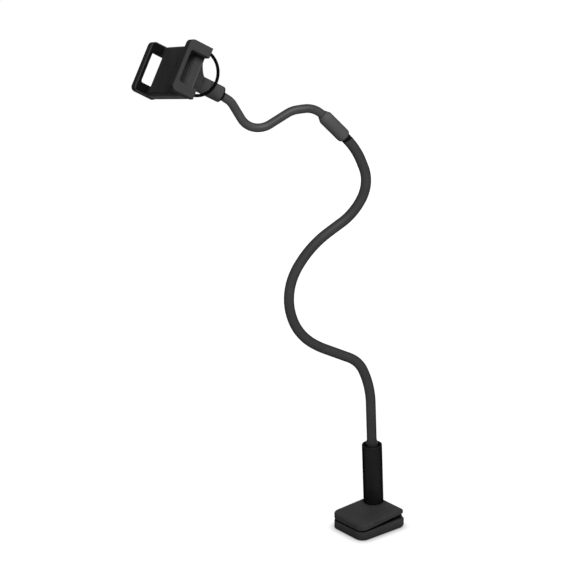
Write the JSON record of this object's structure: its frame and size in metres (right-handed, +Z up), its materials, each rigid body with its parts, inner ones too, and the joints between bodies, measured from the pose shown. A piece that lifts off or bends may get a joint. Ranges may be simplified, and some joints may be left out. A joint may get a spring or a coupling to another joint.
{
  "type": "phone gooseneck holder",
  "caption": "Bendable gooseneck arm on a sprung table clip, ending in a ball-jointed cradle whose sprung grips hold a phone.",
  "frame": {"origin": "middle of the clip's flat underside", "axes": "+X from the clip's tip to its hinge, +Z up out of the underside"},
  "size_m": [0.2867, 0.1829, 0.6246],
  "materials": {
    "jaw_plastic": "fine-grained black moulding",
    "pad_rubber": "matt black rubber",
    "steel": "plain steel",
    "post_metal": "satin black anodised tube",
    "ferrule_plastic": "black moulding",
    "neck_sleeve": "soft black sleeve",
    "neck_core": "bendable wire",
    "coupling_plastic": "black moulding",
    "cradle_plastic": "fine-grained black moulding",
    "grip_plastic": "fine-grained black moulding",
    "nylon": "natural nylon",
    "hoop_plastic": "smooth black cord-like rod"
  },
  "bodies": {
    "base": {"lower_jaw": "jaw_plastic", "lower_jaw_pad": "pad_rubber", "hinge_pin": "steel", "clip_spring": "steel"},
    "arm": {"upper_jaw": "jaw_plastic", "upper_jaw_pad": "pad_rubber", "post": "post_metal", "post_screw": "steel", "neck_ferrule": "ferrule_plastic", "lower_neck_sleeve": "neck_sleeve", "lower_neck_core": "neck_core", "neck_coupling": "coupling_plastic", "coupling_stud": "steel", "upper_neck_sleeve": "neck_sleeve", "upper_neck_core": "neck_core", "ball_stud": "steel"},
    "ball_seats": {"front_seat": "nylon", "rear_seat": "nylon"},
    "cradle": {"back_cover": "cradle_plastic", "cradle_housing": "cradle_plastic", "tray_pad": "pad_rubber", "cover_screws": "steel", "cable_hoop": "hoop_plastic", "left_grip_spring": "steel", "right_grip_spring": "steel"},
    "nut": {"lock_nut": "cradle_plastic"},
    "left_jaw": {"left_grip": "grip_plastic", "left_grip_pad": "pad_rubber"},
    "right_jaw": {"right_grip": "grip_plastic", "right_grip_pad": "pad_rubber"}
  },
  "joints": [
    {"name": "clip_open", "type": "hinge", "parent": "base", "child": "arm", "pos_m": [0.0293, 0, 0.0107], "axis": [0, 1, 0], "range_deg": [0, 28], "stiffness_Nm_per_rad": 3.5, "springref_deg": -34.38, "deforming": ["clip_spring"]},
    {"name": "cradle_nod", "type": "hinge", "parent": "arm", "child": "ball_seats", "pos_m": [-0.16548, 0.0781, 0.55265], "axis": [-0.1851, -0.9604, 0.2084], "range_deg": [-20, 12]},
    {"name": "cradle_spin", "type": "hinge", "parent": "ball_seats", "child": "cradle", "pos_m": [-0.16548, 0.0781, 0.55265], "axis": [-0.8252, 0.267, 0.4977], "continuous": true},
    {"name": "nut_turn", "type": "hinge", "parent": "cradle", "child": "nut", "pos_m": [-0.16548, 0.0781, 0.55265], "axis": [-0.8252, 0.267, 0.4977], "range_deg": [0, 300]},
    {"name": "left_slide", "type": "slide", "parent": "cradle", "child": "left_jaw", "axis": [0.1851, 0.9604, -0.2084], "range_m": [0, 0.03], "stiffness_N_per_m": 120, "springref_m": -0.03, "deforming": ["left_grip_spring"]},
    {"name": "right_slide", "type": "slide", "parent": "cradle", "child": "right_jaw", "axis": [-0.1851, -0.9604, 0.2084], "range_m": [0, 0.03], "stiffness_N_per_m": 120, "springref_m": -0.03, "deforming": ["right_grip_spring"]}
  ]
}
